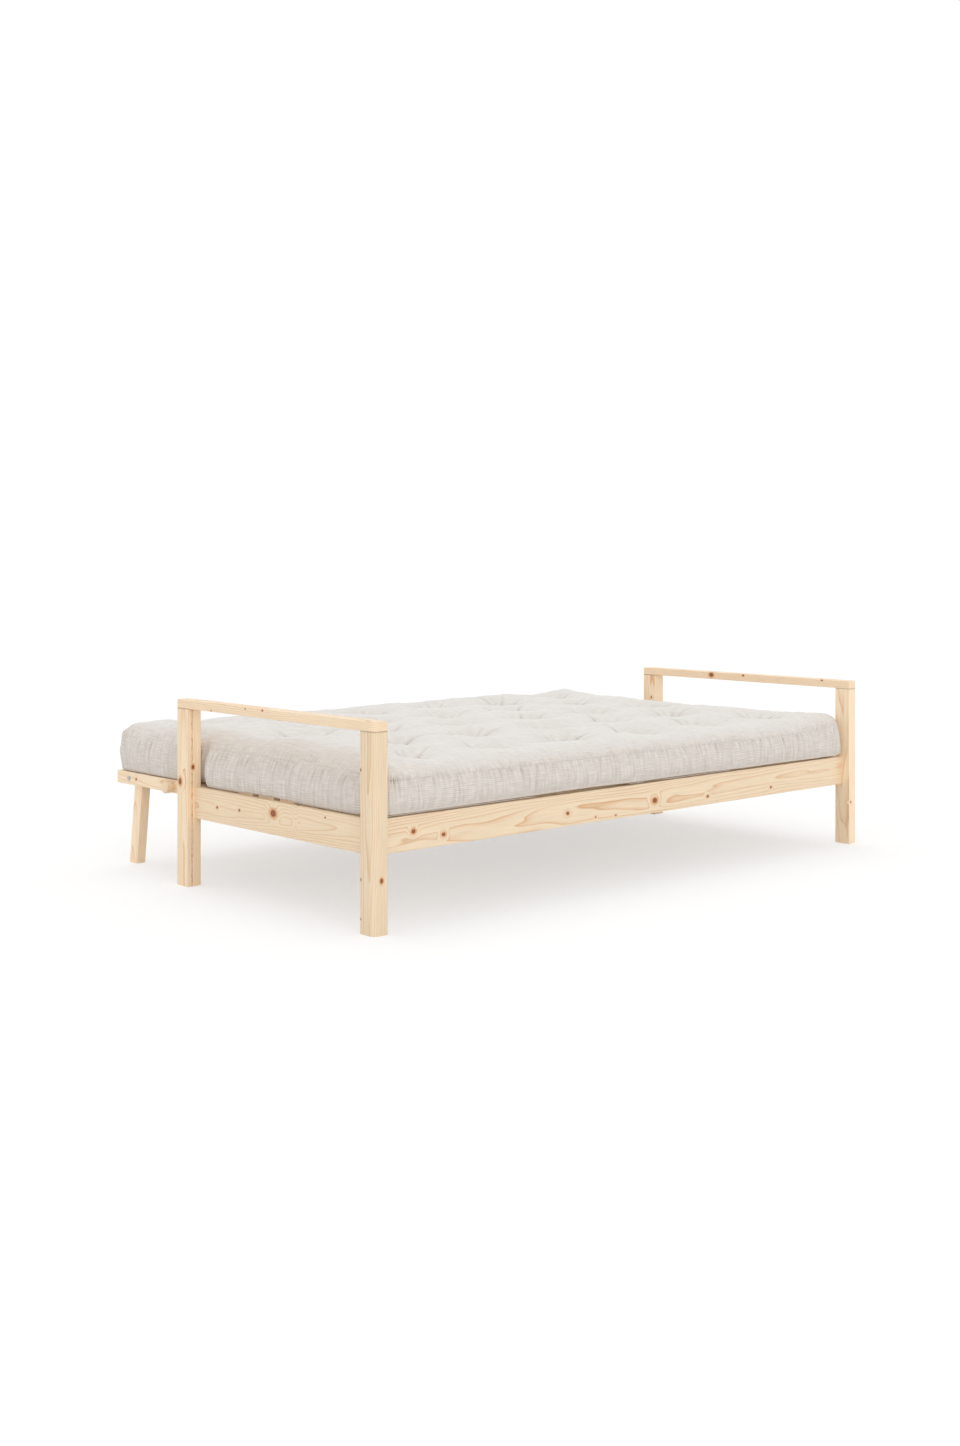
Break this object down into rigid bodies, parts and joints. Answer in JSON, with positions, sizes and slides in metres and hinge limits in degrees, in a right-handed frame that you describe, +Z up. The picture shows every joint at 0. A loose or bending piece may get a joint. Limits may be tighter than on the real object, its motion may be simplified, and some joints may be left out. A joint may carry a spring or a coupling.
{
  "type": "futon sofa bed",
  "caption": "Pine sofa bed with square posts, plank arms and slatted seat; its slatted back folds down behind on hinged legs to carry one tufted futon mattress as a bed.",
  "frame": {"origin": "on the floor, under the middle of the bed's outline", "axes": "+X along the sofa to its right end as seen from the front, +Y to the rear, +Z up"},
  "size_m": [2.04, 1.329, 0.535],
  "materials": {
    "clear_pine": "satin",
    "slat_pine": "matte",
    "knob_pine": "satin",
    "beech_dowel": "matte",
    "zinc_steel": "satin",
    "futon_cover": "matte"
  },
  "bodies": {
    "base": {"post_front_left": "clear_pine", "post_front_right": "clear_pine", "post_rear_left": "clear_pine", "post_rear_right": "clear_pine", "armrest_left": "clear_pine", "armrest_right": "clear_pine", "front_rail": "clear_pine", "rear_rail": "clear_pine", "side_rail_left": "clear_pine", "side_rail_right": "clear_pine", "centre_beam": "clear_pine", "slat_cleat_left": "clear_pine", "slat_cleat_right": "clear_pine", "seat_slat_1": "slat_pine", "seat_slat_2": "slat_pine", "seat_slat_3": "slat_pine", "seat_slat_4": "slat_pine", "seat_slat_5": "slat_pine", "seat_slat_6": "slat_pine", "seat_slat_7": "slat_pine", "arm_dowels": "beech_dowel", "rail_dowels": "beech_dowel", "cleat_screws": "zinc_steel", "seat_slat_screws": "zinc_steel", "bracket_screws": "zinc_steel", "corner_brackets": "zinc_steel", "hinge_bolts": "zinc_steel", "hinge_spacers": "zinc_steel", "mattress_seat": "futon_cover", "mattress_fold": "futon_cover"},
    "back_frame": {"back_rail_left": "clear_pine", "back_rail_right": "clear_pine", "knob_left": "knob_pine", "knob_right": "knob_pine", "back_front_cross_rail": "clear_pine", "back_end_cross_rail": "clear_pine", "back_centre_beam": "clear_pine", "back_slat_1": "slat_pine", "back_slat_2": "slat_pine", "back_slat_3": "slat_pine", "back_dowels": "beech_dowel", "back_slat_screws": "zinc_steel", "leg_bolts": "zinc_steel", "mattress_back": "futon_cover"},
    "leg_left": {"back_leg_left": "clear_pine"},
    "leg_centre": {"back_leg_centre": "clear_pine"},
    "leg_right": {"back_leg_right": "clear_pine"}
  },
  "joints": [
    {"name": "back_fold", "type": "hinge", "parent": "base", "child": "back_frame", "pos_m": [0, 0.2145, 0.267], "axis": [1, 0, 0], "range_deg": [0, 70], "deforming": ["mattress_fold"]},
    {"name": "leg_left_swing", "type": "hinge", "parent": "back_frame", "child": "leg_left", "pos_m": [-0.9205, 0.5945, 0.267], "axis": [-1, 0, 0], "range_deg": [0, 80]},
    {"name": "leg_centre_swing", "type": "hinge", "parent": "back_frame", "child": "leg_centre", "pos_m": [0.0325, 0.5945, 0.267], "axis": [-1, 0, 0], "range_deg": [0, 80]},
    {"name": "leg_right_swing", "type": "hinge", "parent": "back_frame", "child": "leg_right", "pos_m": [0.9205, 0.5945, 0.267], "axis": [-1, 0, 0], "range_deg": [0, 80]}
  ]
}
